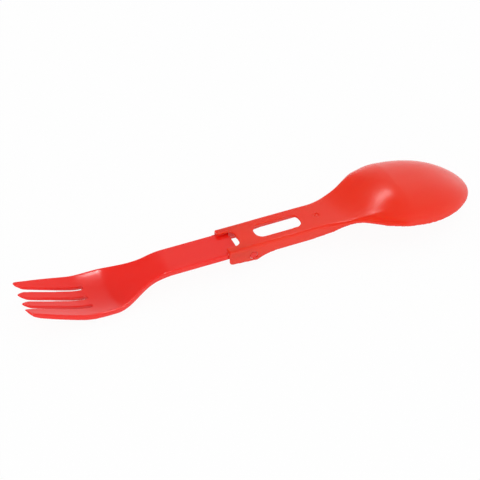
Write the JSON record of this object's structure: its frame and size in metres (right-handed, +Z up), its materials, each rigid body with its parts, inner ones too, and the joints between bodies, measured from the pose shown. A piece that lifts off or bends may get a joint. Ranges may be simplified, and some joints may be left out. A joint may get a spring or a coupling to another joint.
{
  "type": "folding camping spork",
  "caption": "Two-piece folding camping cutlery: a spoon half with a hinge yoke and a fork half with four tines that swings down and under it, shown unfolded.",
  "frame": {"origin": "on the flat top face of the spoon half's handle, straight above the hinge axis, on the middle line", "axes": "+X along the object to the spoon's tip, +Z up out of the handle's top face, +Y across the handle to the left of the spoon's direction"},
  "size_m": [0.197, 0.0428, 0.0188],
  "materials": {
    "plastic": "satin moulded plastic, slightly translucent"
  },
  "bodies": {
    "spoon_half": {"spoon_half": "plastic"},
    "fork_half": {"fork_half": "plastic"}
  },
  "joints": [
    {"name": "fold_hinge", "type": "hinge", "parent": "spoon_half", "child": "fork_half", "pos_m": [0, 0, -0.0048], "axis": [0, -1, 0], "range_deg": [0, 180]}
  ]
}
